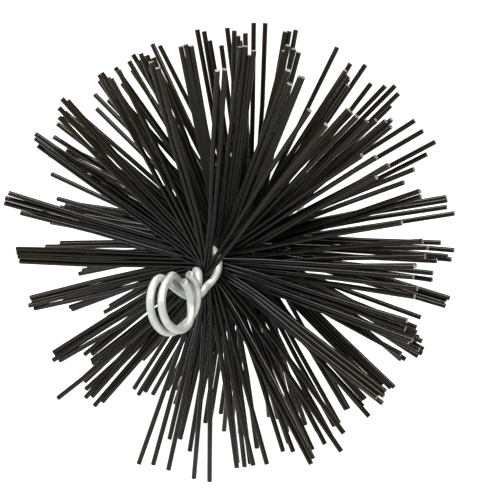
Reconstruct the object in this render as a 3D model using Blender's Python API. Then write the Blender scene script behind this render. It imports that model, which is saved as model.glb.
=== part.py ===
"""Chimney sweep brush: plastic filaments pinched between two twisted wires, with an eye at each end.

The brush lies on its side as on a table: the stem runs along Y, the floor is Z = 0 and the origin is on the
floor below the middle of the stem. The near eye is at -Y and the far eye is the same shape turned half
round about Z.
"""
import math
import random

import bmesh
import bpy
import numpy as np
from mathutils import Matrix, Vector

MM = 0.001

# Overall sizes of the brush
BRUSH_DIAMETER = 250.0 * MM
FILL_LENGTH = 90.0 * MM          # stretch of the stem that holds bristles
NECK_LENGTH = 5.5 * MM           # bare stretch between the bristles and the bend into the eye
SEAT_GAP = 0.3 * MM              # clearance between pieces that press on each other
FLOOR_CUT = 0.5 * MM             # depth that the lowest tips are cut flat, where the brush rests

# Stem wires
WIRE_DIAMETER = 4.4 * MM
WIRE_GAP = 0.5 * MM              # clearance between the two wires where they run side by side
WIRE_STEP = 3.0 * MM             # distance between points along the stem's centreline
WIRE_SIDES_RESOLUTION = 3
MIDDLE_PHASE = math.radians(-90.0)   # angle of wire A from the stem's centre at mid-length
NECK_PHASE = math.radians(-49.0)     # and at the near neck
FULL_TURNS = 1                   # whole turns of the twist between the two, beside that difference
STEM_STRAIGHT = 24.0 * MM        # from mid-length to where the stem starts to bend towards the eye
STEM_SWERVE = 3.0 * MM           # how far the bend carries each end sideways
STEM_SAG = 6.0 * MM              # how far it carries each end down

# Eyes
EYE_OUTER_DIAMETER = 34.4 * MM
EYE_REACH = 30.0 * MM            # from the neck's end to the eye's centre, along the stem
EYE_DROP = 6.0 * MM              # how far the eye's centre hangs below the middle of the stem
EYE_ASIDE = 0.5 * MM             # how far the eye's centre stands to the side of it
EYE_YAW = math.radians(10.0)
EYE_LEAN = math.radians(9.0)
EYE_STEP_ASIDE = 7.8 * MM        # sideways distance between the turn's start and its end
EYE_START = math.radians(60.0)   # where the entry meets the turn, counted from the brush's side over the top,
EYE_CROSSED = math.radians(96.0)     # where the wires lie side by side again,
EYE_FOOT = math.radians(270.0)       # its lowest place,
EYE_BACK = math.radians(360.0)       # the brush's side,
EYE_END = math.radians(412.0)        # and the cut ends
EYE_POINTS_PER_TURN = 24
EYE_TUCK = 2.0 * MM              # how far the pair dips where one wire crosses under the other
TAIL_TURN = math.radians(35.0)   # last part of the turn, where the cut ends bend aside
TAIL_ASIDE = 1.0 * MM            # and how far they go
EYE_SPREAD = 1.6 * MM            # daylight between the two wires on the eye's outer side
EYE_PARTING = math.radians(60.0)     # turn over which the wires part, and come together again
EYE_CLOSING = math.radians(90.0)
STEM_HANDLE_SHARE = 0.85         # the entry curve's handles, as shares of the eye's radius
EYE_HANDLE_SHARE = 0.90
STEM_HANDLE_ASIDE = 4.0 * MM     # how far those handles stand away from the cut ends
EYE_HANDLE_ASIDE = 5.0 * MM
# Angle of wire A in the pair, at each place on the turn
EYE_PHASES = (
    (EYE_START, math.radians(-80.0)),
    (EYE_CROSSED, math.radians(14.0)),
    (EYE_FOOT, math.radians(14.0)),
    (EYE_BACK, math.radians(95.0)),
    (EYE_END, math.radians(120.0)),
)

# Bristles
BUNDLE_COUNT = 41
FILAMENTS_ACROSS = 4             # side by side in the nip of the wires, fewer near its ends
FILAMENT_DIAMETER = 2.35 * MM
STRAND_SIDE_SHARE = 0.68         # side of a free strand's square section as a share of its diameter
NIP_OPENING_SHARE = 0.165        # of the fill, at each end, over which the wires open to the full nip
NIP_SQUEEZE_SHARE = 0.95         # width of a filament in the nip as a share of its diameter
ROOT_DEPTH = 5.0 * MM            # half the length of the pinched middle
KNEE_RADIUS = 30.0 * MM          # up to here a bundle's strands lie flat, side by side
AXIAL_SPLAY_SHARE = 0.32         # how far the tips at the ends lean outwards, as a share of their place
TIP_WANDER = 7.0 * MM            # greatest lean of a tip along the stem by chance
LENGTH_LOSS_SHARE = 0.09         # shortest strand against the brush's radius
STRAND_CLEARANCE = 2.6 * MM      # least distance between the centrelines of free strands
CLUMP_TURN = math.radians(12.0)
FAN_STEP_RANGE = (math.radians(0.8), math.radians(5.2))   # between neighbours in a bundle
FAN_STRAY_SHARE = 0.35
LEAN_STRAY_SHARE = 0.35
LENGTH_LOSS_POWER = 1.6          # above 1, most strands are long and a few are short
REST_TURN = math.radians(8.0)    # strands this close to straight down reach the floor
TRIES = 200
TIE_SHARE = 0.001                # a try must be better than the last by this share to take its place
SEED = 39

WIRE_RADIUS = WIRE_DIAMETER / 2
BRUSH_RADIUS = BRUSH_DIAMETER / 2
AXIS_HEIGHT = BRUSH_RADIUS - FLOOR_CUT
CELL = FILAMENT_DIAMETER * NIP_SQUEEZE_SHARE
STRAND_SIDE = FILAMENT_DIAMETER * STRAND_SIDE_SHARE
BUNDLE_PITCH = FILL_LENGTH / BUNDLE_COUNT
SLAB_THICKNESS = BUNDLE_PITCH - SEAT_GAP
TIGHT_RADIUS = WIRE_RADIUS + WIRE_GAP / 2            # from the bare pair's middle to each wire
NECK_END = FILL_LENGTH / 2 + NECK_LENGTH
TWIST_RATE = (MIDDLE_PHASE - NECK_PHASE + FULL_TURNS * math.tau) / (FILL_LENGTH / 2)     # per metre of stem
CHORD_SWELL = 1 / math.cos(TWIST_RATE * WIRE_STEP / 2)   # keeps the wires' straight pieces off the bristles
EYE_RADIUS = (EYE_OUTER_DIAMETER - WIRE_DIAMETER) / 2    # to the wires' centreline


def clear_scene():
    for old in list(bpy.data.objects):
        bpy.data.objects.remove(old, do_unlink=True)


def material(name, colour, roughness, metallic):
    finish = bpy.data.materials.new(name)
    finish.use_nodes = True
    shader = finish.node_tree.nodes["Principled BSDF"]
    shader.inputs["Base Color"].default_value = (*colour, 1.0)
    shader.inputs["Roughness"].default_value = roughness
    shader.inputs["Metallic"].default_value = metallic
    return finish


def ease(share):
    share = min(1.0, max(0.0, share))
    return share * share * (3.0 - 2.0 * share)


def stem_centre(y):
    """Centre of the stem at a place along Y: straight in the middle, bent a little towards each eye."""
    bend = max(0.0, (abs(y) - STEM_STRAIGHT) / (NECK_END - STEM_STRAIGHT)) ** 2
    return Vector((-math.copysign(STEM_SWERVE, y) * bend, y, -STEM_SAG * bend))


def nip_width(y):
    """Room for filaments between the wires: one at the ends of the fill, the full row in its middle."""
    opened = ease((FILL_LENGTH / 2 - abs(y)) / (FILL_LENGTH * NIP_OPENING_SHARE))
    return CELL * (1.0 + (FILAMENTS_ACROSS - 1) * opened)


def wire_spacing(y):
    """Distance of each wire's centre from the stem's centre."""
    bare = ease((abs(y) - FILL_LENGTH / 2) / NECK_LENGTH)
    full = (nip_width(abs(y) - WIRE_STEP) / 2 + SEAT_GAP + WIRE_RADIUS) * CHORD_SWELL
    return full + (TIGHT_RADIUS - full) * bare


def twist_phase(y):
    """Angle of the line through both wires, from X towards Z."""
    return MIDDLE_PHASE + TWIST_RATE * max(-FILL_LENGTH / 2, min(FILL_LENGTH / 2, y))


def eye_frame():
    """Columns: across the eye, outwards along the stem, and up, for the near eye."""
    turn = Matrix.Rotation(-EYE_LEAN, 3, "Y") @ Matrix.Rotation(-EYE_YAW, 3, "Z")
    return turn @ Vector((1, 0, 0)), turn @ Vector((0, -1, 0)), turn @ Vector((0, 0, 1))


def eye_point(angle):
    """Centre of the pair of wires on the near eye; the angle runs from the brush's side over the top."""
    across, outward, up = eye_frame()
    centre = Vector((EYE_ASIDE, -(NECK_END + EYE_REACH), -EYE_DROP))
    aside = EYE_STEP_ASIDE * ((angle - EYE_START) / (EYE_END - EYE_START) - 0.5)
    tail = max(0.0, (angle - EYE_END) / TAIL_TURN + 1.0)
    tuck = EYE_TUCK * ease((EYE_CROSSED - angle) / (EYE_CROSSED - EYE_START))
    radial = math.sin(angle) * up - math.cos(angle) * outward
    return centre + (EYE_RADIUS - tuck) * radial + (aside - TAIL_ASIDE * tail * tail) * across


def eye_phase(angle):
    """Angle of wire A in the pair, from the eye's -X side outwards."""
    for (place_a, phase_a), (place_b, phase_b) in zip(EYE_PHASES, EYE_PHASES[1:]):
        if angle <= place_b:
            return phase_a + (phase_b - phase_a) * ease((angle - place_a) / (place_b - place_a))
    return EYE_PHASES[-1][1]


def near_half():
    """From mid-length to the cut end: the middle of the pair, wire A's direction and distance from it."""
    stations = []
    steps = math.ceil(NECK_END / WIRE_STEP)
    for step in range(steps):
        y = -NECK_END * step / steps
        phase = twist_phase(y)
        stations.append((stem_centre(y), Vector((math.cos(phase), 0, math.sin(phase))), wire_spacing(y)))

    across, outward, up = eye_frame()
    start = stem_centre(-NECK_END)
    end = eye_point(EYE_START)
    end_direction = (math.cos(EYE_START) * up + math.sin(EYE_START) * outward).normalized()
    heading = (start - stem_centre(WIRE_STEP - NECK_END)).normalized()
    handle_a = start + heading * EYE_RADIUS * STEM_HANDLE_SHARE - across * STEM_HANDLE_ASIDE
    handle_b = end - end_direction * EYE_RADIUS * EYE_HANDLE_SHARE - across * EYE_HANDLE_ASIDE
    steps = math.ceil((end - start).length / WIRE_STEP)
    phase_from, phase_to = -math.pi - NECK_PHASE, eye_phase(EYE_START)
    for step in range(steps):
        t = step / steps
        s = 1.0 - t
        point = s ** 3 * start + 3 * s * s * t * handle_a + 3 * s * t * t * handle_b + t ** 3 * end
        along = (s * s * (handle_a - start) + 2 * s * t * (handle_b - handle_a)
                 + t * t * (end - handle_b)).normalized()
        side = Vector((1, 0, 0)).lerp(across, ease(t))
        side = (side - side.dot(along) * along).normalized()
        phase = phase_from + (phase_to - phase_from) * t
        direction = math.sin(phase) * along.cross(side) - math.cos(phase) * side
        stations.append((point, direction, TIGHT_RADIUS))

    steps = math.ceil(EYE_POINTS_PER_TURN * (EYE_END - EYE_START) / math.tau)
    for step in range(steps + 1):
        angle = EYE_START + (EYE_END - EYE_START) * step / steps
        radial = math.sin(angle) * up - math.cos(angle) * outward
        phase = eye_phase(angle)
        open_share = ease((angle - EYE_START) / EYE_PARTING) * ease((EYE_END - angle) / EYE_CLOSING)
        spacing = TIGHT_RADIUS + EYE_SPREAD / 2 * open_share
        stations.append((eye_point(angle), math.sin(phase) * radial - math.cos(phase) * across, spacing))
    return stations


def turned(vector):
    """The same vector turned half round about Z, for the far half of the stem."""
    return Vector((-vector.x, -vector.y, vector.z))


def wire_route(sign):
    near = [centre + sign * spacing * direction for centre, direction, spacing in near_half()]
    far = [turned(point) for point in near]
    return near[:0:-1] + far


def stem_wire(name, sign, finish):
    curve = bpy.data.curves.new(name, "CURVE")
    curve.dimensions = "3D"
    curve.bevel_depth = WIRE_RADIUS
    curve.bevel_resolution = WIRE_SIDES_RESOLUTION
    curve.use_fill_caps = True
    route = wire_route(sign)
    spline = curve.splines.new("POLY")
    spline.points.add(len(route) - 1)
    for place, point in zip(spline.points, route):
        place.co = (*point, 1.0)
    wire = bpy.data.objects.new(name, curve)
    wire.location = (0, 0, AXIS_HEIGHT)
    curve.materials.append(finish)
    bpy.context.collection.objects.link(wire)
    return wire


def bundle_matrix(number):
    """Places a bundle: X is the line through both wires, Y the stem, Z the way the bristles point."""
    y = (number - (BUNDLE_COUNT - 1) / 2) * BUNDLE_PITCH
    stand = Matrix.Translation(stem_centre(y) + Vector((0, 0, AXIS_HEIGHT)))
    return stand @ Matrix.Rotation(-twist_phase(y), 4, "Y")


def bundle_row(place):
    """Width of the pinched middle and the number of filaments in it."""
    width = nip_width(abs(place.translation.y) + SLAB_THICKNESS / 2)
    return width, max(1, round(width / CELL))


def segment_distance(start, end, starts, ends):
    """Least distance from one segment to each of many."""
    d1, d2, r = end - start, ends - starts, start - starts
    a, e, f = d1 @ d1, np.einsum("ij,ij->i", d2, d2), np.einsum("ij,ij->i", d2, r)
    c, b = r @ d1, d2 @ d1
    s = np.clip((b * f - c * e) / np.maximum(a * e - b * b, 1e-12), 0, 1)
    t = np.clip((b * s + f) / e, 0, 1)
    s = np.clip((b * t - c) / a, 0, 1)
    return np.linalg.norm(start + np.outer(s, d1) - starts - t[:, None] * d2, axis=1)


def draw_clump(draw, place, side):
    """Root, knee and tip of one side's strands, in the bundle's frame, leaning and fanned by chance."""
    width, count = bundle_row(place)
    turn = draw.uniform(-CLUMP_TURN, CLUMP_TURN)
    fan_step = draw.uniform(*FAN_STEP_RANGE)
    lean = place.translation.y * AXIAL_SPLAY_SHARE + draw.uniform(-TIP_WANDER, TIP_WANDER)
    strands = []
    for column in range(count):
        from_middle = column - (count - 1) / 2
        root = Vector((from_middle * width / count, 0, side * ROOT_DEPTH))
        angle = turn + fan_step * (from_middle + draw.uniform(-FAN_STRAY_SHARE, FAN_STRAY_SHARE))
        reach = BRUSH_RADIUS * (1.0 - LENGTH_LOSS_SHARE * draw.random() ** LENGTH_LOSS_POWER)
        stray = draw.uniform(-LEAN_STRAY_SHARE, LEAN_STRAY_SHARE) * TIP_WANDER
        tip = Vector((reach * math.sin(angle), lean + stray, side * reach * math.cos(angle)))
        hang = place.to_3x3() @ tip
        if math.atan2(abs(hang.x), -hang.z) < REST_TURN:
            tip *= (place.translation.z + FLOOR_CUT) / -hang.z
        knee = root.lerp(tip, (KNEE_RADIUS - ROOT_DEPTH) / (BRUSH_RADIUS - ROOT_DEPTH))
        knee.y = 0
        strands.append((root, knee, tip))
    return strands


def plan_strands():
    """Every bundle's strands, each clump drawn again until it stands clear of the ones before it."""
    knees, tips = [], []
    plan = {}
    least = BRUSH_DIAMETER
    for number in range(BUNDLE_COUNT):
        place = bundle_matrix(number)
        for side in (-1, 1):
            best, best_clear = None, 0.0
            for attempt in range(TRIES):
                draw = random.Random(f"{SEED} {number} {side} {attempt}")
                strands = draw_clump(draw, place, side)
                clear = min([BRUSH_DIAMETER] + [
                    segment_distance(np.array(place @ knee), np.array(place @ tip), np.array(knees),
                                     np.array(tips)).min() for _, knee, tip in strands if knees])
                if best is None or clear > best_clear * (1 + TIE_SHARE):
                    best, best_clear = strands, clear
                if clear > STRAND_CLEARANCE:
                    break
            least = min(least, best_clear)
            plan[number, side] = best
            knees += [np.array(place @ knee) for _, knee, _ in best]
            tips += [np.array(place @ tip) for _, _, tip in best]
    print(f"free strands: {len(tips)}, least distance past the knees: {least / MM:.2f} mm")
    return plan


def bristle_bundle(number, plan, finish):
    """Filaments pressed side by side: a flat pinched middle with as many strands out of each side."""
    place = bundle_matrix(number)
    width, count = bundle_row(place)
    mesh_in_progress = bmesh.new()
    foot = Matrix.Translation((0, 0, -ROOT_DEPTH)) @ Matrix.Diagonal((width, SLAB_THICKNESS, 1, 1))
    bmesh.ops.create_grid(mesh_in_progress, x_segments=count, y_segments=1, size=0.5, matrix=foot)
    slab = bmesh.ops.extrude_face_region(mesh_in_progress, geom=mesh_in_progress.faces[:])
    raised = [part for part in slab["geom"] if isinstance(part, bmesh.types.BMVert)]
    bmesh.ops.translate(mesh_in_progress, verts=raised, vec=(0, 0, 2 * ROOT_DEPTH))
    bmesh.ops.recalc_face_normals(mesh_in_progress, faces=mesh_in_progress.faces[:])

    for side in (-1, 1):
        ends = sorted((face for face in mesh_in_progress.faces if face.normal.z * side > 0.9),
                      key=lambda face: face.calc_center_median().x)
        bmesh.ops.inset_individual(mesh_in_progress, faces=ends, thickness=SEAT_GAP / 2, use_even_offset=True)
        for face, (root, knee, tip) in zip(ends, plan[number, side]):
            centre = face.calc_center_median()
            corners = [Vector((math.copysign(STRAND_SIDE, vert.co.x - centre.x),
                               math.copysign(STRAND_SIDE, vert.co.y - centre.y), 0)) / 2
                       for vert in face.verts]
            out = Vector((0, 0, side))
            first, second = (knee - root).normalized(), (tip - knee).normalized()
            for point, heading in ((knee, (first + second).normalized()), (tip, second)):
                face = bmesh.ops.extrude_discrete_faces(mesh_in_progress, faces=[face])["faces"][0]
                turn = out.rotation_difference(heading)
                for vert, corner in zip(face.verts, corners):
                    vert.co = point + turn @ corner
            cut_at_floor(face, second, place)

    mesh = bpy.data.meshes.new(f"bristle_bundle_{number + 1:02d}")
    mesh_in_progress.to_mesh(mesh)
    mesh_in_progress.free()
    mesh.materials.append(finish)
    bundle = bpy.data.objects.new(mesh.name, mesh)
    bundle.matrix_world = place
    bpy.context.collection.objects.link(bundle)
    return bundle


def cut_at_floor(tip_face, heading, place):
    """Ends a strand flat on the floor where it would reach below it."""
    world = [place @ vert.co for vert in tip_face.verts]
    if min(point.z for point in world) > 0:
        return
    down = place.to_3x3() @ heading
    back = place.inverted()
    for vert, point in zip(tip_face.verts, world):
        vert.co = back @ (point - down * (point.z / down.z))


def main():
    clear_scene()
    galvanised = material("galvanised_wire", (0.62, 0.62, 0.60), 0.38, 1.0)
    plastic = material("black_plastic", (0.022, 0.020, 0.017), 0.42, 0.0)
    stem_wire("stem_wire_a", 1, galvanised)
    stem_wire("stem_wire_b", -1, galvanised)
    plan = plan_strands()
    for number in range(BUNDLE_COUNT):
        bristle_bundle(number, plan, plastic)


main()
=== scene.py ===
"""Looks of the chimney sweep brush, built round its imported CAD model.

The brush lies on its lowest bristle tips with the stem along Y, the near eye at -Y and the floor at Z = 0.
"""

import math
import random

import bmesh
import bpy
import numpy as np
from mathutils import Matrix, Vector


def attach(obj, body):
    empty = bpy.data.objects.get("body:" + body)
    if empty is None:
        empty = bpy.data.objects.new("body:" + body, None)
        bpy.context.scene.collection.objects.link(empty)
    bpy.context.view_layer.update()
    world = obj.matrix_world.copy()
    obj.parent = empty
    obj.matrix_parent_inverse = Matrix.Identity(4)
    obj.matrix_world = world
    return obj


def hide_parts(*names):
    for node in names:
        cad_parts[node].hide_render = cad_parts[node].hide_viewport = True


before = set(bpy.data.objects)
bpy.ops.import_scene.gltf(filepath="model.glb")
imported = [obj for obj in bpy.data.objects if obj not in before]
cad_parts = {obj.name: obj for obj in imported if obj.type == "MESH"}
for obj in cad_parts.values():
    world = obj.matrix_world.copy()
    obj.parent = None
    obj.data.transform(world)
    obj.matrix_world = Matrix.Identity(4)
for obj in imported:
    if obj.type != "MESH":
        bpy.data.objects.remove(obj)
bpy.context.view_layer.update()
bpy.ops.object.select_all(action="DESELECT")

MM = 0.001


# Camera. It stands a little to the right of the stem and above it, as the photographer did, and looks
# along the stem at the near eye. A long lens keeps the far bristles nearly as large as the near ones.
VIEW_AZIMUTH = math.radians(22.0)
VIEW_ELEVATION = math.radians(18.6)
VIEW_DISTANCE = 1.08
FOCAL_PIXELS = 1880.0
IMAGE_PIXELS = 500.0
SENSOR_WIDTH = 36.0                  # in millimetres, as a lens is given
CLIP_RANGE = (0.05, 50.0)
HUB_PIXEL = (231.0, 249.0)           # where the middle of the brush lies in the picture
BRUSH_RADIUS = 125.0 * MM
FLOOR_CUT = 0.5 * MM                 # depth that the lowest tips are cut flat, where the brush rests
AXIS_HEIGHT = BRUSH_RADIUS - FLOOR_CUT

towards_camera = Vector((
    math.sin(VIEW_AZIMUTH) * math.cos(VIEW_ELEVATION),
    -math.cos(VIEW_AZIMUTH) * math.cos(VIEW_ELEVATION),
    math.sin(VIEW_ELEVATION)))
picture_right = Vector((math.cos(VIEW_AZIMUTH), math.sin(VIEW_AZIMUTH), 0))
picture_up = towards_camera.cross(picture_right)
pixel_size = VIEW_DISTANCE / FOCAL_PIXELS
aim = (Vector((0, 0, AXIS_HEIGHT))
       - picture_right * (HUB_PIXEL[0] - IMAGE_PIXELS / 2) * pixel_size
       + picture_up * (HUB_PIXEL[1] - IMAGE_PIXELS / 2) * pixel_size)

bpy.ops.object.camera_add(location=aim + towards_camera * VIEW_DISTANCE)
camera = bpy.context.object
camera.name = "camera"
camera.rotation_mode = "QUATERNION"
camera.rotation_quaternion = (-towards_camera).to_track_quat("-Z", "Y")
camera.data.sensor_width = SENSOR_WIDTH
camera.data.lens = FOCAL_PIXELS / IMAGE_PIXELS * SENSOR_WIDTH
camera.data.clip_start, camera.data.clip_end = CLIP_RANGE
bpy.context.scene.camera = camera


# Floor and light. The floor is a white light table, which leaves no shadow. The sky is dim, so the black
# bristles stay black. A long cool soft box over the brush and a warm one at its right draw the highlights,
# and two small ones fill in from the left and from behind.
FLOOR_SIZE = 60.0
TABLE_SHEET = (0.30, 0.30, 0.30, 1.0)
TABLE_GLOW = 1.0
SKY_STRENGTH = 0.10
WHITE = (1.0, 1.0, 1.0, 1.0)
SOFT_BOXES = (
    # name, place, width and depth, power, colour
    ("top_box", (-0.2, -0.5, 1.5), (1.5, 0.35), 58.0, (0.93, 0.96, 1.0)),
    ("right_box", (1.2, -0.4, 0.95), (0.2, 0.2), 11.0, (0.94, 0.85, 0.66)),
    ("left_box", (-1.0, -0.9, 0.55), (0.25, 0.25), 5.0, (1.0, 0.97, 0.92)),
    ("back_box", (0.1, 0.9, 1.2), (0.3, 0.3), 5.0, (1.0, 0.97, 0.92)),
)


def adjust(node, values):
    """Sets a node's inputs by their names."""
    for name, value in values.items():
        node.inputs[name].default_value = value


def new_finish(name):
    """A new material and its shader."""
    finish = bpy.data.materials.new(name)
    finish.use_nodes = True
    return finish, finish.node_tree.nodes["Principled BSDF"]


bpy.context.scene.view_settings.view_transform = "Standard"
bpy.ops.mesh.primitive_plane_add(size=FLOOR_SIZE, location=(0, 0, 0))
floor = bpy.context.object
floor.name = "studio_floor"
floor_paint, floor_shader = new_finish("studio_white")
adjust(floor_shader, {
    "Base Color": TABLE_SHEET, "Roughness": 0.9, "Specular IOR Level": 0.1,
    "Emission Color": WHITE, "Emission Strength": TABLE_GLOW})
floor.data.materials.append(floor_paint)

sky = bpy.data.worlds.new("studio_sky")
sky.use_nodes = True
adjust(sky.node_tree.nodes["Background"], {"Color": WHITE, "Strength": SKY_STRENGTH})
bpy.context.scene.world = sky

for box_name, box_place, box_size, box_power, box_colour in SOFT_BOXES:
    bpy.ops.object.light_add(type="AREA", location=box_place)
    soft_box = bpy.context.object
    soft_box.name = box_name
    soft_box.data.shape = "RECTANGLE"
    soft_box.data.size, soft_box.data.size_y = box_size
    soft_box.data.energy = box_power
    soft_box.data.color = box_colour
    soft_box.rotation_mode = "QUATERNION"
    to_brush = Vector((0, 0, AXIS_HEIGHT)) - Vector(box_place)
    soft_box.rotation_quaternion = to_brush.to_track_quat("-Z", "Y")


# Stem wires. Two galvanised steel wires, 4.4 mm thick, are twisted round each other with the bristles pinched
# between them. Beyond the bristles they run on side by side, go once round as the eye and are cut off
# beside the neck. Each wire is one piece from the cut end of one eye to the cut end of the other.
SEAT_GAP = 0.3 * MM                  # clearance between pieces that press on each other
FILL_LENGTH = 90.0 * MM              # stretch of the stem that holds bristles
NECK_LENGTH = 5.5 * MM               # bare stretch between the bristles and the bend into the eye
NECK_END = FILL_LENGTH / 2 + NECK_LENGTH
WIRE_RADIUS = 2.2 * MM
WIRE_GAP = 0.5 * MM                  # clearance between the two wires where they run side by side
TIGHT_RADIUS = WIRE_RADIUS + WIRE_GAP / 2            # from the bare pair's middle to each wire
CAD_WIRE_STEP = 3.0 * MM             # distance between points along the solids' wires
WIRE_STEP = 1.0 * MM                 # and along these
WIRE_SIDES = 20
WIRE_CUTS = (18, 17)                 # cuts across the straight wire: first these, then each part again
WIRE_BLANK_LENGTH = 340.0 * MM
WIRE_RIM = 0.35 * MM                 # width of the rounded rim of a cut end
WIRE_RIM_STEPS = 2
WIRE_DISH = 0.9 * MM                 # width of the ring inside that rim
WIRE_CREASE = math.radians(50.0)     # edges sharper than this stay sharp
PICK_SLACK = 0.01 * MM               # when edges and faces are picked by their place
END_FACING = 0.99                    # least share of Z in the normal of a face that closes an end
MIDDLE_PHASE = math.radians(-90.0)   # angle of wire A from the stem's centre at mid-length
NECK_PHASE = math.radians(-49.0)     # and at the near neck
TWIST_RATE = (MIDDLE_PHASE - NECK_PHASE + math.tau) / (FILL_LENGTH / 2)      # per metre of stem
CHORD_SWELL = 1 / math.cos(TWIST_RATE * CAD_WIRE_STEP / 2)   # for the straight pieces of the solids' wires
STEM_STRAIGHT = 24.0 * MM            # from mid-length to where the stem starts to bend towards the eye
STEM_SWERVE = 3.0 * MM               # how far the bend carries each end sideways
STEM_SAG = 6.0 * MM                  # how far it carries each end down
EYE_RADIUS = 15.0 * MM               # to the middle of the wire
EYE_REACH = 30.0 * MM                # from the neck's end to the eye's centre, along the stem
EYE_DROP = 6.0 * MM                  # how far the eye's centre hangs below the middle of the stem
EYE_ASIDE = 0.5 * MM                 # how far it stands to the side of it
EYE_YAW = math.radians(10.0)
EYE_LEAN = math.radians(9.0)
EYE_STEP_ASIDE = 7.8 * MM            # sideways distance between the turn's start and its end
EYE_TUCK = 2.0 * MM                  # how far the pair dips where one wire crosses under the other
TAIL_TURN = math.radians(35.0)       # last part of the turn, where the cut ends bend aside
TAIL_ASIDE = 0.3 * MM                # and how far they go
EYE_SPREAD = 1.6 * MM                # daylight between the two wires on the eye's outer side
EYE_PARTING = math.radians(60.0)     # turn over which the wires part,
EYE_CLOSING = math.radians(90.0)     # and come together again
STEM_HANDLE_SHARE = 0.85             # the entry curve's handles, as shares of the eye's radius
EYE_HANDLE_SHARE = 0.90
STEM_HANDLE_ASIDE = 4.0 * MM         # how far those handles stand away from the cut ends
EYE_HANDLE_ASIDE = 5.0 * MM
# Places on the eye's turn, counted from the brush's side over the top
EYE_START = math.radians(60.0)       # where the entry meets the turn,
EYE_CROSSED = math.radians(96.0)     # where the wires lie side by side again,
EYE_FOOT = math.radians(270.0)       # its lowest place,
EYE_BACK = math.radians(360.0)       # the brush's side,
EYE_END = math.radians(412.0)        # and the cut ends
# Angle of wire A in the pair, at each of these places
EYE_PHASES = (
    (EYE_START, math.radians(-80.0)),
    (EYE_CROSSED, math.radians(14.0)),
    (EYE_FOOT, math.radians(14.0)),
    (EYE_BACK, math.radians(95.0)),
    (EYE_END, math.radians(120.0)),
)
FILAMENT_DIAMETER = 2.35 * MM        # the real filament's
NIP_SQUEEZE_SHARE = 0.95             # width of a filament in the nip as a share of its diameter
CELL = FILAMENT_DIAMETER * NIP_SQUEEZE_SHARE
FILAMENTS_ACROSS = 4                 # side by side in the nip of the wires, fewer near its ends
NIP_OPENING_SHARE = 0.165            # of the fill, at each end, over which the wires open to the full nip
SOFT_BEND = 3.0 * MM                 # how far the bends of the neck and eye are smoothed along the wire
SOFT_REACH = 12                      # points each way that take part in it
SOFT_BLEND = 6.0 * MM                # beyond the neck, where the smoothing comes in


def ease(share):
    """From 0 to 1 with a soft start and a soft end."""
    share = min(1.0, max(0.0, share))
    return share * share * (3.0 - 2.0 * share)


def stem_centre(y):
    """The middle of the stem, which bends aside and down towards the eyes."""
    bend = max(0.0, (abs(y) - STEM_STRAIGHT) / (NECK_END - STEM_STRAIGHT)) ** 2
    return Vector((-math.copysign(STEM_SWERVE, y) * bend, y, -STEM_SAG * bend))


def nip_width(y):
    """Width of the row of filaments that the wires pinch here."""
    opened = ease((FILL_LENGTH / 2 - abs(y)) / (FILL_LENGTH * NIP_OPENING_SHARE))
    return CELL * (1.0 + (FILAMENTS_ACROSS - 1) * opened)


def wire_spacing(y):
    """Distance of each wire from the middle of the stem."""
    bare = ease((abs(y) - FILL_LENGTH / 2) / NECK_LENGTH)
    full = (nip_width(abs(y) - CAD_WIRE_STEP) / 2 + SEAT_GAP + WIRE_RADIUS) * CHORD_SWELL
    return full + (TIGHT_RADIUS - full) * bare


def twist_phase(y):
    """Angle of wire A round the stem."""
    return MIDDLE_PHASE + TWIST_RATE * max(-FILL_LENGTH / 2, min(FILL_LENGTH / 2, y))


def eye_frame():
    """The near eye's own directions: across its turn, away from the brush and up."""
    turn = Matrix.Rotation(-EYE_LEAN, 3, "Y") @ Matrix.Rotation(-EYE_YAW, 3, "Z")
    return turn @ Vector((1, 0, 0)), turn @ Vector((0, -1, 0)), turn @ Vector((0, 0, 1))


def eye_point(angle):
    """The middle of the pair of wires on the near eye's turn."""
    across, outward, up = eye_frame()
    centre = Vector((EYE_ASIDE, -(NECK_END + EYE_REACH), -EYE_DROP))
    aside = EYE_STEP_ASIDE * ((angle - EYE_START) / (EYE_END - EYE_START) - 0.5)
    tail = max(0.0, (angle - EYE_END) / TAIL_TURN + 1.0)
    tuck = EYE_TUCK * ease((EYE_CROSSED - angle) / (EYE_CROSSED - EYE_START))
    radial = math.sin(angle) * up - math.cos(angle) * outward
    return centre + (EYE_RADIUS - tuck) * radial + (aside - TAIL_ASIDE * tail * tail) * across


def eye_phase(angle):
    """Angle of wire A in the pair on that turn."""
    for (place_a, phase_a), (place_b, phase_b) in zip(EYE_PHASES, EYE_PHASES[1:]):
        if angle <= place_b:
            return phase_a + (phase_b - phase_a) * ease((angle - place_a) / (place_b - place_a))
    return EYE_PHASES[-1][1]


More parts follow.
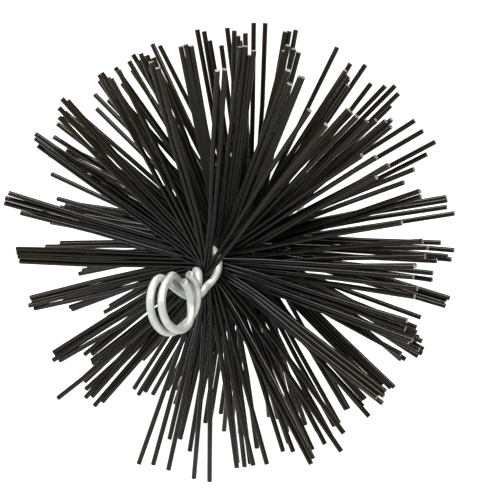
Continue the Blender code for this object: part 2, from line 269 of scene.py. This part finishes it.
def near_half():
    """From mid-length to the cut end: the middle of the pair, wire A's direction and distance from it."""
    stations = []
    steps = math.ceil(NECK_END / WIRE_STEP)
    for step in range(steps):
        y = -NECK_END * step / steps
        phase = twist_phase(y)
        stations.append((stem_centre(y), Vector((math.cos(phase), 0, math.sin(phase))), wire_spacing(y)))

    across, outward, up = eye_frame()
    start = stem_centre(-NECK_END)
    end = eye_point(EYE_START)
    end_direction = (math.cos(EYE_START) * up + math.sin(EYE_START) * outward).normalized()
    heading = (start - stem_centre(CAD_WIRE_STEP - NECK_END)).normalized()
    handle_a = start + heading * EYE_RADIUS * STEM_HANDLE_SHARE - across * STEM_HANDLE_ASIDE
    handle_b = end - end_direction * EYE_RADIUS * EYE_HANDLE_SHARE - across * EYE_HANDLE_ASIDE
    steps = math.ceil((end - start).length / WIRE_STEP)
    phase_from, phase_to = -math.pi - NECK_PHASE, eye_phase(EYE_START)
    for step in range(steps):
        gone = step / steps
        left = 1.0 - gone
        point = (left ** 3 * start + 3 * left * left * gone * handle_a
                 + 3 * left * gone * gone * handle_b + gone ** 3 * end)
        along = (left * left * (handle_a - start) + 2 * left * gone * (handle_b - handle_a)
                 + gone * gone * (end - handle_b)).normalized()
        side = Vector((1, 0, 0)).lerp(across, ease(gone))
        side = (side - side.dot(along) * along).normalized()
        phase = phase_from + (phase_to - phase_from) * gone
        direction = math.sin(phase) * along.cross(side) - math.cos(phase) * side
        stations.append((point, direction, TIGHT_RADIUS))

    steps = math.ceil((EYE_END - EYE_START) * EYE_RADIUS / WIRE_STEP)
    for step in range(steps + 1):
        angle = EYE_START + (EYE_END - EYE_START) * step / steps
        radial = math.sin(angle) * up - math.cos(angle) * outward
        phase = eye_phase(angle)
        open_share = ease((angle - EYE_START) / EYE_PARTING) * ease((EYE_END - angle) / EYE_CLOSING)
        spacing = TIGHT_RADIUS + EYE_SPREAD / 2 * open_share
        stations.append((eye_point(angle), math.sin(phase) * radial - math.cos(phase) * across, spacing))
    return stations


def pick(piece, kind, wanted):
    """Selects those edges or faces of a piece in edit mode that answer to a test."""
    bpy.ops.mesh.select_mode(type="EDGE" if kind == "edges" else "FACE")
    bpy.ops.mesh.select_all(action="DESELECT")
    parts = bmesh.from_edit_mesh(piece.data)
    for part in getattr(parts, kind):
        part.select_set(wanted(part))
    bmesh.update_edit_mesh(piece.data)


def runs_lengthwise(edge):
    """Whether an edge of the straight wire runs along it."""
    return abs(edge.verts[0].co.z - edge.verts[1].co.z) > PICK_SLACK


def rims_wire_end(edge):
    """Whether an edge of the straight wire goes round one of its ends."""
    return min(abs(corner.co.z) for corner in edge.verts) > WIRE_BLANK_LENGTH / 2 - PICK_SLACK


def closes_end(face):
    """Whether a face closes an end of a straight piece."""
    return abs(face.normal.z) > END_FACING


def lay_along(piece, heights, route, squeeze=None):
    """Bends a straight piece that stands along Z to a route. Its rings at the given heights go to the route's
    points, and what lies between them goes between those. Squeeze is the piece's thickness at each point."""
    points = np.array(route)
    ahead = np.gradient(points, axis=0)
    ahead /= np.linalg.norm(ahead, axis=1)[:, None]
    sides = []
    side = np.array(Vector(ahead[0]).orthogonal())
    for direction in ahead:
        side = side - side @ direction * direction
        side /= np.linalg.norm(side)
        sides.append(side)
    sides = np.array(sides)
    others = np.cross(ahead, sides)
    thick = np.ones(len(points)) if squeeze is None else np.array(squeeze)

    corners = np.empty(len(piece.data.vertices) * 3)
    piece.data.vertices.foreach_get("co", corners)
    corners = corners.reshape(-1, 3)
    place = np.interp(corners[:, 2], heights, np.arange(len(points)))
    before = np.minimum(place.astype(int), len(points) - 2)
    share = (place - before)[:, None]

    def between(rows):
        return rows[before] * (1 - share) + rows[before + 1] * share

    swell = between(thick[:, None])
    bent = between(points)
    bent = bent + corners[:, :1] * swell * between(sides) + corners[:, 1:2] * swell * between(others)
    piece.data.vertices.foreach_set("co", bent.ravel())
    piece.data.update()


def evenly(route, count):
    """The same route with its points at equal distances."""
    points = np.array(route)
    lengths = np.concatenate([[0.0], np.cumsum(np.linalg.norm(np.diff(points, axis=0), axis=1))])
    places = np.linspace(0.0, lengths[-1], count)
    return np.stack([np.interp(places, lengths, points[:, axis]) for axis in range(3)], axis=1)


def softened(points):
    """The same wire with the bends of its necks and eyes smoothed, as stiff wire takes them."""
    offsets = np.arange(-SOFT_REACH, SOFT_REACH + 1)
    pitch = np.linalg.norm(np.diff(points, axis=0), axis=1).mean()
    weights = np.exp(-0.5 * (offsets * pitch / SOFT_BEND) ** 2)
    weights /= weights.sum()
    padded = np.concatenate([2 * points[0] - points[SOFT_REACH:0:-1], points,
                             2 * points[-1] - points[-2:-SOFT_REACH - 2:-1]])
    smooth = np.stack([np.convolve(padded[:, axis], weights, mode="valid") for axis in range(3)], axis=1)
    share = np.clip((np.abs(points[:, 1]) - NECK_END) / SOFT_BLEND, 0.0, 1.0)[:, None]
    return points + (smooth - points) * share * share * (3.0 - 2.0 * share)


def new_effect(name, inputs, outputs):
    """A node group that several finishes share, and where its inputs come in and its outputs leave."""
    effect = bpy.data.node_groups.new(name, "ShaderNodeTree")
    for direction, sockets in (("INPUT", inputs), ("OUTPUT", outputs)):
        for socket, kind in sockets.items():
            effect.interface.new_socket(socket, in_out=direction, socket_type="NodeSocket" + kind)
    return effect, effect.nodes.new("NodeGroupInput"), effect.nodes.new("NodeGroupOutput")


def add_effect(finish, effect, values):
    """Places a shared effect in a finish, with its values there."""
    node = finish.node_tree.nodes.new("ShaderNodeGroup")
    node.node_tree = effect
    adjust(node, values)
    return node


# Effect: the fine lines that drawing through a die leaves along wire and filament, and the gloss between them
drawn_lines, lines_in, lines_out = new_effect(
    "drawn_lines",
    {"Around": "Float", "Along": "Float", "Smooth": "Float", "Rough": "Float"},
    {"Lines": "Float", "Roughness": "Float"})
lines_place = drawn_lines.nodes.new("ShaderNodeTexCoord")
lines_scale = drawn_lines.nodes.new("ShaderNodeCombineXYZ")
lines_vector = drawn_lines.nodes.new("ShaderNodeVectorMath")
lines_vector.operation = "MULTIPLY"
lines_noise = drawn_lines.nodes.new("ShaderNodeTexNoise")
adjust(lines_noise, {"Scale": 1.0, "Detail": 2.0})
lines_gloss = drawn_lines.nodes.new("ShaderNodeMapRange")
adjust(lines_gloss, {"From Min": 0.3, "From Max": 0.7})
drawn_lines.links.new(lines_in.outputs["Around"], lines_scale.inputs["X"])
drawn_lines.links.new(lines_in.outputs["Along"], lines_scale.inputs["Y"])
drawn_lines.links.new(lines_place.outputs["UV"], lines_vector.inputs[0])
drawn_lines.links.new(lines_scale.outputs["Vector"], lines_vector.inputs[1])
drawn_lines.links.new(lines_vector.outputs["Vector"], lines_noise.inputs["Vector"])
drawn_lines.links.new(lines_noise.outputs["Fac"], lines_gloss.inputs["Value"])
drawn_lines.links.new(lines_in.outputs["Smooth"], lines_gloss.inputs["To Min"])
drawn_lines.links.new(lines_in.outputs["Rough"], lines_gloss.inputs["To Max"])
drawn_lines.links.new(lines_noise.outputs["Fac"], lines_out.inputs["Lines"])
drawn_lines.links.new(lines_gloss.outputs["Result"], lines_out.inputs["Roughness"])

# Effect: a tone that wanders in spots from dark to light, as on bare zinc and in the grain of a cut
mottle, mottle_in, mottle_out = new_effect(
    "mottle",
    {"Scale": "Float", "Detail": "Float", "Start": "Float", "End": "Float",
     "Dark": "Color", "Light": "Color"},
    {"Tone": "Color"})
mottle_place = mottle.nodes.new("ShaderNodeTexCoord")
mottle_noise = mottle.nodes.new("ShaderNodeTexNoise")
adjust(mottle_noise, {"Roughness": 0.65})
mottle_share = mottle.nodes.new("ShaderNodeMapRange")
mottle_tone = mottle.nodes.new("ShaderNodeMix")
mottle_tone.data_type = "RGBA"
mottle.links.new(mottle_place.outputs["Object"], mottle_noise.inputs["Vector"])
mottle.links.new(mottle_in.outputs["Scale"], mottle_noise.inputs["Scale"])
mottle.links.new(mottle_in.outputs["Detail"], mottle_noise.inputs["Detail"])
mottle.links.new(mottle_noise.outputs["Fac"], mottle_share.inputs["Value"])
mottle.links.new(mottle_in.outputs["Start"], mottle_share.inputs["From Min"])
mottle.links.new(mottle_in.outputs["End"], mottle_share.inputs["From Max"])
mottle.links.new(mottle_share.outputs["Result"], mottle_tone.inputs["Factor"])
mottle.links.new(mottle_in.outputs["Dark"], mottle_tone.inputs["A"])
mottle.links.new(mottle_in.outputs["Light"], mottle_tone.inputs["B"])
mottle.links.new(mottle_tone.outputs["Result"], mottle_out.inputs["Tone"])


def draw_lines(finish, shader, lines_values, relief_values):
    """Lets drawn lines vary a finish's gloss and stand out from it a little, and returns their node."""
    links = finish.node_tree.links
    lines = add_effect(finish, drawn_lines, lines_values)
    relief = finish.node_tree.nodes.new("ShaderNodeBump")
    adjust(relief, relief_values)
    links.new(lines.outputs["Roughness"], shader.inputs["Roughness"])
    links.new(lines.outputs["Lines"], relief.inputs["Height"])
    links.new(relief.outputs["Normal"], shader.inputs["Normal"])
    return lines


def cut_finish(name, metallic, roughness, mottle_values):
    """The finish of a cut face: dull, with a torn grain."""
    finish, shader = new_finish(name)
    adjust(shader, {"Metallic": metallic, "Roughness": roughness})
    grain = add_effect(finish, mottle, mottle_values)
    finish.node_tree.links.new(grain.outputs["Tone"], shader.inputs["Base Color"])
    return finish


# The zinc is pale and cloudy, with a few brown stains and darker streaks along the drawn lines
zinc, zinc_shader = new_finish("galvanised_wire_zinc")
adjust(zinc_shader, {"Metallic": 0.5})
zinc_bloom = add_effect(zinc, mottle, {
    "Scale": 300.0, "Detail": 4.0, "Start": 0.30, "End": 0.70,
    "Dark": (0.36, 0.375, 0.36, 1.0), "Light": (0.52, 0.54, 0.51, 1.0)})
zinc_lines = draw_lines(
    zinc, zinc_shader, {"Around": 12.0, "Along": 12.0, "Smooth": 0.38, "Rough": 0.52},
    {"Strength": 0.1, "Distance": 0.1 * MM})
zinc_nodes, zinc_links = zinc.node_tree.nodes, zinc.node_tree.links
stain_place = zinc_nodes.new("ShaderNodeTexCoord")
stain = zinc_nodes.new("ShaderNodeTexNoise")
adjust(stain, {"Scale": 75.0, "Detail": 3.0})
stain_mask = zinc_nodes.new("ShaderNodeMapRange")
adjust(stain_mask, {"From Min": 0.64, "From Max": 0.74})
stained = zinc_nodes.new("ShaderNodeMix")
stained.data_type = "RGBA"
adjust(stained, {"B": (0.36, 0.30, 0.24, 1.0)})
streak = zinc_nodes.new("ShaderNodeMapRange")
adjust(streak, {"From Min": 0.32, "From Max": 0.52, "To Min": 0.72})
streaked = zinc_nodes.new("ShaderNodeVectorMath")
streaked.operation = "SCALE"
zinc_links.new(stain_place.outputs["Object"], stain.inputs["Vector"])
zinc_links.new(stain.outputs["Fac"], stain_mask.inputs["Value"])
zinc_links.new(stain_mask.outputs["Result"], stained.inputs["Factor"])
zinc_links.new(zinc_bloom.outputs["Tone"], stained.inputs["A"])
zinc_links.new(zinc_lines.outputs["Lines"], streak.inputs["Value"])
zinc_links.new(streak.outputs["Result"], streaked.inputs["Scale"])
zinc_links.new(stained.outputs["Result"], streaked.inputs[0])
zinc_links.new(streaked.outputs["Vector"], zinc_shader.inputs["Base Color"])

# The cut face is bare steel with a torn grain, duller than the zinc, and its dark tone is also painted shade,
# because the cut ends lie in shadow
wire_cut_and_shade = cut_finish("galvanised_wire_cut_and_shade", metallic=0.3, roughness=0.6, mottle_values={
    "Scale": 900.0, "Detail": 3.0, "Start": 0.35, "End": 0.65,
    "Dark": (0.06, 0.055, 0.048, 1.0), "Light": (0.20, 0.19, 0.17, 1.0)})

# One straight length of wire, its cut ends rounded at the rim, which both wires are bent from
bpy.ops.object.select_all(action="DESELECT")
bpy.ops.mesh.primitive_cylinder_add(
    vertices=WIRE_SIDES, radius=WIRE_RADIUS, depth=WIRE_BLANK_LENGTH, location=(0, 0, 0))
straight_wire = bpy.context.object
for finish in (zinc, wire_cut_and_shade):
    straight_wire.data.materials.append(finish)
bpy.ops.object.mode_set(mode="EDIT")
for cuts in WIRE_CUTS:
    pick(straight_wire, "edges", runs_lengthwise)
    bpy.ops.mesh.subdivide(number_cuts=cuts)
pick(straight_wire, "edges", rims_wire_end)
bpy.ops.mesh.bevel(offset=WIRE_RIM, segments=WIRE_RIM_STEPS, affect="EDGES")
pick(straight_wire, "faces", closes_end)
bpy.ops.mesh.inset(thickness=WIRE_DISH)
pick(straight_wire, "faces", closes_end)
straight_wire.active_material_index = straight_wire.data.materials.find(wire_cut_and_shade.name)
bpy.ops.object.material_slot_assign()
bpy.ops.object.mode_set(mode="OBJECT")
bpy.ops.object.shade_smooth_by_angle(angle=WIRE_CREASE)

ring_count = (WIRE_CUTS[0] + 1) * (WIRE_CUTS[1] + 1) + 1
ring_heights = np.linspace(-WIRE_BLANK_LENGTH / 2, WIRE_BLANK_LENGTH / 2, ring_count)
stations = near_half()
for wire_name, sign in (("wire_a", 1), ("wire_b", -1)):
    near = [centre + sign * spacing * direction for centre, direction, spacing in stations]
    far = [Vector((-point.x, -point.y, point.z)) for point in near]
    wire_route = [point + Vector((0, 0, AXIS_HEIGHT)) for point in near[:0:-1] + far]
    wire = bpy.data.objects.new(wire_name, straight_wire.data.copy())
    wire.data.name = wire_name
    bpy.context.collection.objects.link(wire)
    lay_along(wire, ring_heights, softened(evenly(wire_route, ring_count)))
    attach(wire, "root")
    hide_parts("stem_" + wire_name)
bpy.data.objects.remove(straight_wire)


# Bristles. Stiff black plastic filaments, each one piece that passes right through between the wires and is
# cut square at both tips, which leaves a pale rim round a darker core. Neighbours that are pressed side by
# side share a bundle. The plan of the bundles is the solids' own, drawn again from the same seed.
BUNDLE_COUNT = 41
BUNDLE_PITCH = FILL_LENGTH / BUNDLE_COUNT
SLAB_THICKNESS = BUNDLE_PITCH - SEAT_GAP
ROOT_DEPTH = 5.0 * MM                # half the length of the pinched middle
KNEE_RADIUS = 30.0 * MM              # up to here a bundle's strands lie flat, side by side
AXIAL_SPLAY_SHARE = 0.32             # how far the tips at the ends lean outwards, as a share of their place
TIP_WANDER = 7.0 * MM                # greatest lean of a tip along the stem by chance
LENGTH_LOSS_SHARE = 0.09             # shortest strand against the brush's radius
LENGTH_LOSS_POWER = 1.6              # above 1, most strands are long and a few are short
STRAND_CLEARANCE = 2.6 * MM          # least distance between the centrelines of free strands
CLUMP_TURN = math.radians(12.0)
FAN_STEP_RANGE = (math.radians(0.8), math.radians(5.2))      # between neighbours in a bundle
FAN_STRAY_SHARE = 0.35
LEAN_STRAY_SHARE = 0.35
REST_TURN = math.radians(8.0)        # strands this close to straight down reach the floor
TRIES = 200
TIE_SHARE = 0.001                    # a try must be better than the last by this share to take its place
SEED = 39
PARALLEL_LIMIT = 1e-12               # keeps the distance of parallel strands finite
FILAMENT_SIDES = 16
FILAMENT_RADIUS = 1.42 * MM          # drawn stout, because the bright floor eats into thin black strands
FILAMENT_SKIN = 0.4 * MM             # width of the pale rim that the cut leaves round a tip
FILAMENT_CREASE = math.radians(60.0)
NIP_SHARE = 0.77                     # a filament's thickness between the wires, against that of its free ends
BOW = 1.0 * MM                       # greatest bow of a free strand
INNER_SHARES = (0.0,)                # places of the rings, from the root to the knee
OUTER_SHARES = (0.02, 0.5, 1.0)      # and from the knee to the tip
UV_MIDDLE = 0.75                     # a filament's middle in its UV map, where its length runs from 0.5 to 1
UV_TIP = 0.25                        # distance of its tips from there
UV_BROWNING = 0.10                       # and of the place where the brown towards the tips begins
BROWNING_SHARE = 0.7


def bundle_matrix(number):
    """A bundle's place, on the middle of the stem and turned with the wires."""
    y = (number - (BUNDLE_COUNT - 1) / 2) * BUNDLE_PITCH
    stand = Matrix.Translation(stem_centre(y) + Vector((0, 0, AXIS_HEIGHT)))
    return stand @ Matrix.Rotation(-twist_phase(y), 4, "Y")


def bundle_row(place):
    """Width of a bundle's row of filaments in the nip, and how many they are."""
    width = nip_width(abs(place.translation.y) + SLAB_THICKNESS / 2)
    return width, max(1, round(width / CELL))


def segment_distance(start, end, starts, ends):
    """Distances between the centrelines of one straight strand and of many others."""
    strand, others, apart = end - start, ends - starts, start - starts
    strand_square, other_squares = strand @ strand, np.einsum("ij,ij->i", others, others)
    strand_apart, other_apart = apart @ strand, np.einsum("ij,ij->i", others, apart)
    both = others @ strand
    spread = np.maximum(strand_square * other_squares - both * both, PARALLEL_LIMIT)
    share = np.clip((both * other_apart - strand_apart * other_squares) / spread, 0, 1)
    other_share = np.clip((both * share + other_apart) / other_squares, 0, 1)
    share = np.clip((both * other_share - strand_apart) / strand_square, 0, 1)
    gaps = start + np.outer(share, strand) - starts - other_share[:, None] * others
    return np.linalg.norm(gaps, axis=1)


def draw_clump(draw, place, side):
    """The strands of one side of a bundle by chance: each one's root, knee and tip."""
    width, count = bundle_row(place)
    turn = draw.uniform(-CLUMP_TURN, CLUMP_TURN)
    fan_step = draw.uniform(*FAN_STEP_RANGE)
    lean = place.translation.y * AXIAL_SPLAY_SHARE + draw.uniform(-TIP_WANDER, TIP_WANDER)
    strands = []
    for column in range(count):
        from_middle = column - (count - 1) / 2
        root = Vector((from_middle * width / count, 0, side * ROOT_DEPTH))
        angle = turn + fan_step * (from_middle + draw.uniform(-FAN_STRAY_SHARE, FAN_STRAY_SHARE))
        reach = BRUSH_RADIUS * (1.0 - LENGTH_LOSS_SHARE * draw.random() ** LENGTH_LOSS_POWER)
        stray = draw.uniform(-LEAN_STRAY_SHARE, LEAN_STRAY_SHARE) * TIP_WANDER
        tip = Vector((reach * math.sin(angle), lean + stray, side * reach * math.cos(angle)))
        hang = place.to_3x3() @ tip
        if math.atan2(abs(hang.x), -hang.z) < REST_TURN:
            tip *= (place.translation.z + FLOOR_CUT) / -hang.z
        knee = root.lerp(tip, (KNEE_RADIUS - ROOT_DEPTH) / (BRUSH_RADIUS - ROOT_DEPTH))
        knee.y = 0
        strands.append((root, knee, tip))
    return strands


def strand_points(root, knee, tip, bow):
    """A free strand's ring centres from its root to its tip, a little bowed beyond the knee."""
    across = (tip - knee).cross(Vector((0, 1, 0))).normalized()
    inner = [root.lerp(knee, share) for share in INNER_SHARES]
    outer = [knee.lerp(tip, share) + across * bow * math.sin(math.pi * share) for share in OUTER_SHARES]
    return inner + outer


plan = {}
knees, tips = [], []
for number in range(BUNDLE_COUNT):
    place = bundle_matrix(number)
    for side in (-1, 1):
        best, best_clear = None, 0.0
        for attempt in range(TRIES):
            draw = random.Random(f"{SEED} {number} {side} {attempt}")
            strands = draw_clump(draw, place, side)
            clear = min([2 * BRUSH_RADIUS] + [
                segment_distance(np.array(place @ knee), np.array(place @ tip), np.array(knees),
                                 np.array(tips)).min() for _, knee, tip in strands if knees])
            if best is None or clear > best_clear * (1 + TIE_SHARE):
                best, best_clear = strands, clear
            if clear > STRAND_CLEARANCE:
                break
        plan[number, side] = best
        knees += [np.array(place @ knee) for _, knee, _ in best]
        tips += [np.array(place @ tip) for _, _, tip in best]

# The plastic's black differs a little from filament to filament and turns brown towards the tips
plastic, plastic_shader = new_finish("filament_black")
adjust(plastic_shader, {"Specular IOR Level": 0.17})
plastic_nodes, plastic_links = plastic.node_tree.nodes, plastic.node_tree.links
shade = plastic_nodes.new("ShaderNodeAttribute")
shade.attribute_name = "shade"
plastic_tone = plastic_nodes.new("ShaderNodeMix")
plastic_tone.data_type = "RGBA"
adjust(plastic_tone, {"A": (0.0002, 0.0002, 0.0002, 1.0), "B": (0.0028, 0.0031, 0.0016, 1.0)})
filament_place = plastic_nodes.new("ShaderNodeTexCoord")
filament_length = plastic_nodes.new("ShaderNodeSeparateXYZ")
from_middle = plastic_nodes.new("ShaderNodeMath")
from_middle.operation = "SUBTRACT"
from_middle.inputs[1].default_value = UV_MIDDLE
either_way = plastic_nodes.new("ShaderNodeMath")
either_way.operation = "ABSOLUTE"
tip_browning = plastic_nodes.new("ShaderNodeMapRange")
adjust(tip_browning, {"From Min": UV_BROWNING, "From Max": UV_TIP, "To Max": BROWNING_SHARE})
plastic_browned = plastic_nodes.new("ShaderNodeMix")
plastic_browned.data_type = "RGBA"
adjust(plastic_browned, {"B": (0.0145, 0.0098, 0.0045, 1.0)})
plastic_links.new(shade.outputs["Fac"], plastic_tone.inputs["Factor"])
plastic_links.new(filament_place.outputs["UV"], filament_length.inputs["Vector"])
plastic_links.new(filament_length.outputs["Y"], from_middle.inputs[0])
plastic_links.new(from_middle.outputs["Value"], either_way.inputs[0])
plastic_links.new(either_way.outputs["Value"], tip_browning.inputs["Value"])
plastic_links.new(tip_browning.outputs["Result"], plastic_browned.inputs["Factor"])
plastic_links.new(plastic_tone.outputs["Result"], plastic_browned.inputs["A"])
plastic_links.new(plastic_browned.outputs["Result"], plastic_shader.inputs["Base Color"])
draw_lines(
    plastic, plastic_shader, {"Around": 5.0, "Along": 6.0, "Smooth": 0.10, "Rough": 0.20},
    {"Strength": 0.05, "Distance": 0.05 * MM})

cut_rim = cut_finish("filament_cut_rim", metallic=0.0, roughness=0.5, mottle_values={
    "Scale": 500.0, "Detail": 2.0, "Start": 0.35, "End": 0.64,
    "Dark": (0.06, 0.052, 0.042, 1.0), "Light": (0.46, 0.43, 0.37, 1.0)})
cut_core = cut_finish("filament_cut_core", metallic=0.0, roughness=0.6, mottle_values={
    "Scale": 250.0, "Detail": 2.0, "Start": 0.42, "End": 0.72,
    "Dark": (0.030, 0.026, 0.021, 1.0), "Light": (0.30, 0.28, 0.24, 1.0)})

# One straight filament, which every one is bent from, with rings where it may bend
filament_finishes = (plastic, cut_rim, cut_core)
heights = [ROOT_DEPTH + share * (KNEE_RADIUS - ROOT_DEPTH) for share in INNER_SHARES]
heights += [KNEE_RADIUS + share * (BRUSH_RADIUS - KNEE_RADIUS) for share in OUTER_SHARES]
heights = [-height for height in heights[::-1]] + heights
bpy.ops.object.select_all(action="DESELECT")
bpy.ops.mesh.primitive_cylinder_add(
    vertices=FILAMENT_SIDES, radius=FILAMENT_RADIUS, depth=2 * BRUSH_RADIUS, location=(0, 0, 0))
straight_filament = bpy.context.object
for finish in filament_finishes:
    straight_filament.data.materials.append(finish)
bpy.ops.object.mode_set(mode="EDIT")
for height in heights[1:-1]:
    bpy.ops.mesh.select_all(action="SELECT")
    bpy.ops.mesh.bisect(plane_co=(0, 0, height), plane_no=(0, 0, 1))
pick(straight_filament, "faces", closes_end)
straight_filament.active_material_index = filament_finishes.index(cut_rim)
bpy.ops.object.material_slot_assign()
bpy.ops.mesh.inset(thickness=FILAMENT_SKIN)
straight_filament.active_material_index = filament_finishes.index(cut_core)
bpy.ops.object.material_slot_assign()
bpy.ops.object.mode_set(mode="OBJECT")
bpy.ops.object.shade_smooth_by_angle(angle=FILAMENT_CREASE)
straight_filament.data.attributes.new("shade", "FLOAT", "POINT")
squeeze = [NIP_SHARE if abs(height) < KNEE_RADIUS / 2 else 1.0 for height in heights]

for number in range(BUNDLE_COUNT):
    place = bundle_matrix(number)
    drawn = random.Random(f"looks {number}")
    bpy.ops.object.select_all(action="DESELECT")
    for below, above in zip(plan[number, -1], plan[number, 1]):
        local = [strand_points(*strand, drawn.uniform(-BOW, BOW)) for strand in (below, above)]
        filament = bpy.data.objects.new("filament", straight_filament.data.copy())
        bpy.context.collection.objects.link(filament)
        lay_along(filament, heights, [place @ point for point in local[0][::-1] + local[1]], squeeze)
        tone = drawn.random()
        filament.data.attributes["shade"].data.foreach_set("value", [tone] * len(filament.data.vertices))
        filament.select_set(True)
        bpy.context.view_layer.objects.active = filament
    bpy.ops.object.join()
    bundle = bpy.context.object
    bundle.name = bundle.data.name = f"bristles_{number + 1:02d}"
    if min(corner.co.z for corner in bundle.data.vertices) < 0:
        bpy.ops.object.mode_set(mode="EDIT")
        bpy.ops.mesh.select_all(action="SELECT")
        bpy.ops.mesh.bisect(plane_co=(0, 0, 0), plane_no=(0, 0, 1), clear_inner=True, use_fill=True)
        bpy.ops.object.mode_set(mode="OBJECT")
        for face in bundle.data.polygons:
            if face.center.z < PICK_SLACK:
                face.material_index = filament_finishes.index(cut_core)
    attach(bundle, "root")
    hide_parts(f"bristle_bundle_{number + 1:02d}")
bpy.data.objects.remove(straight_filament)
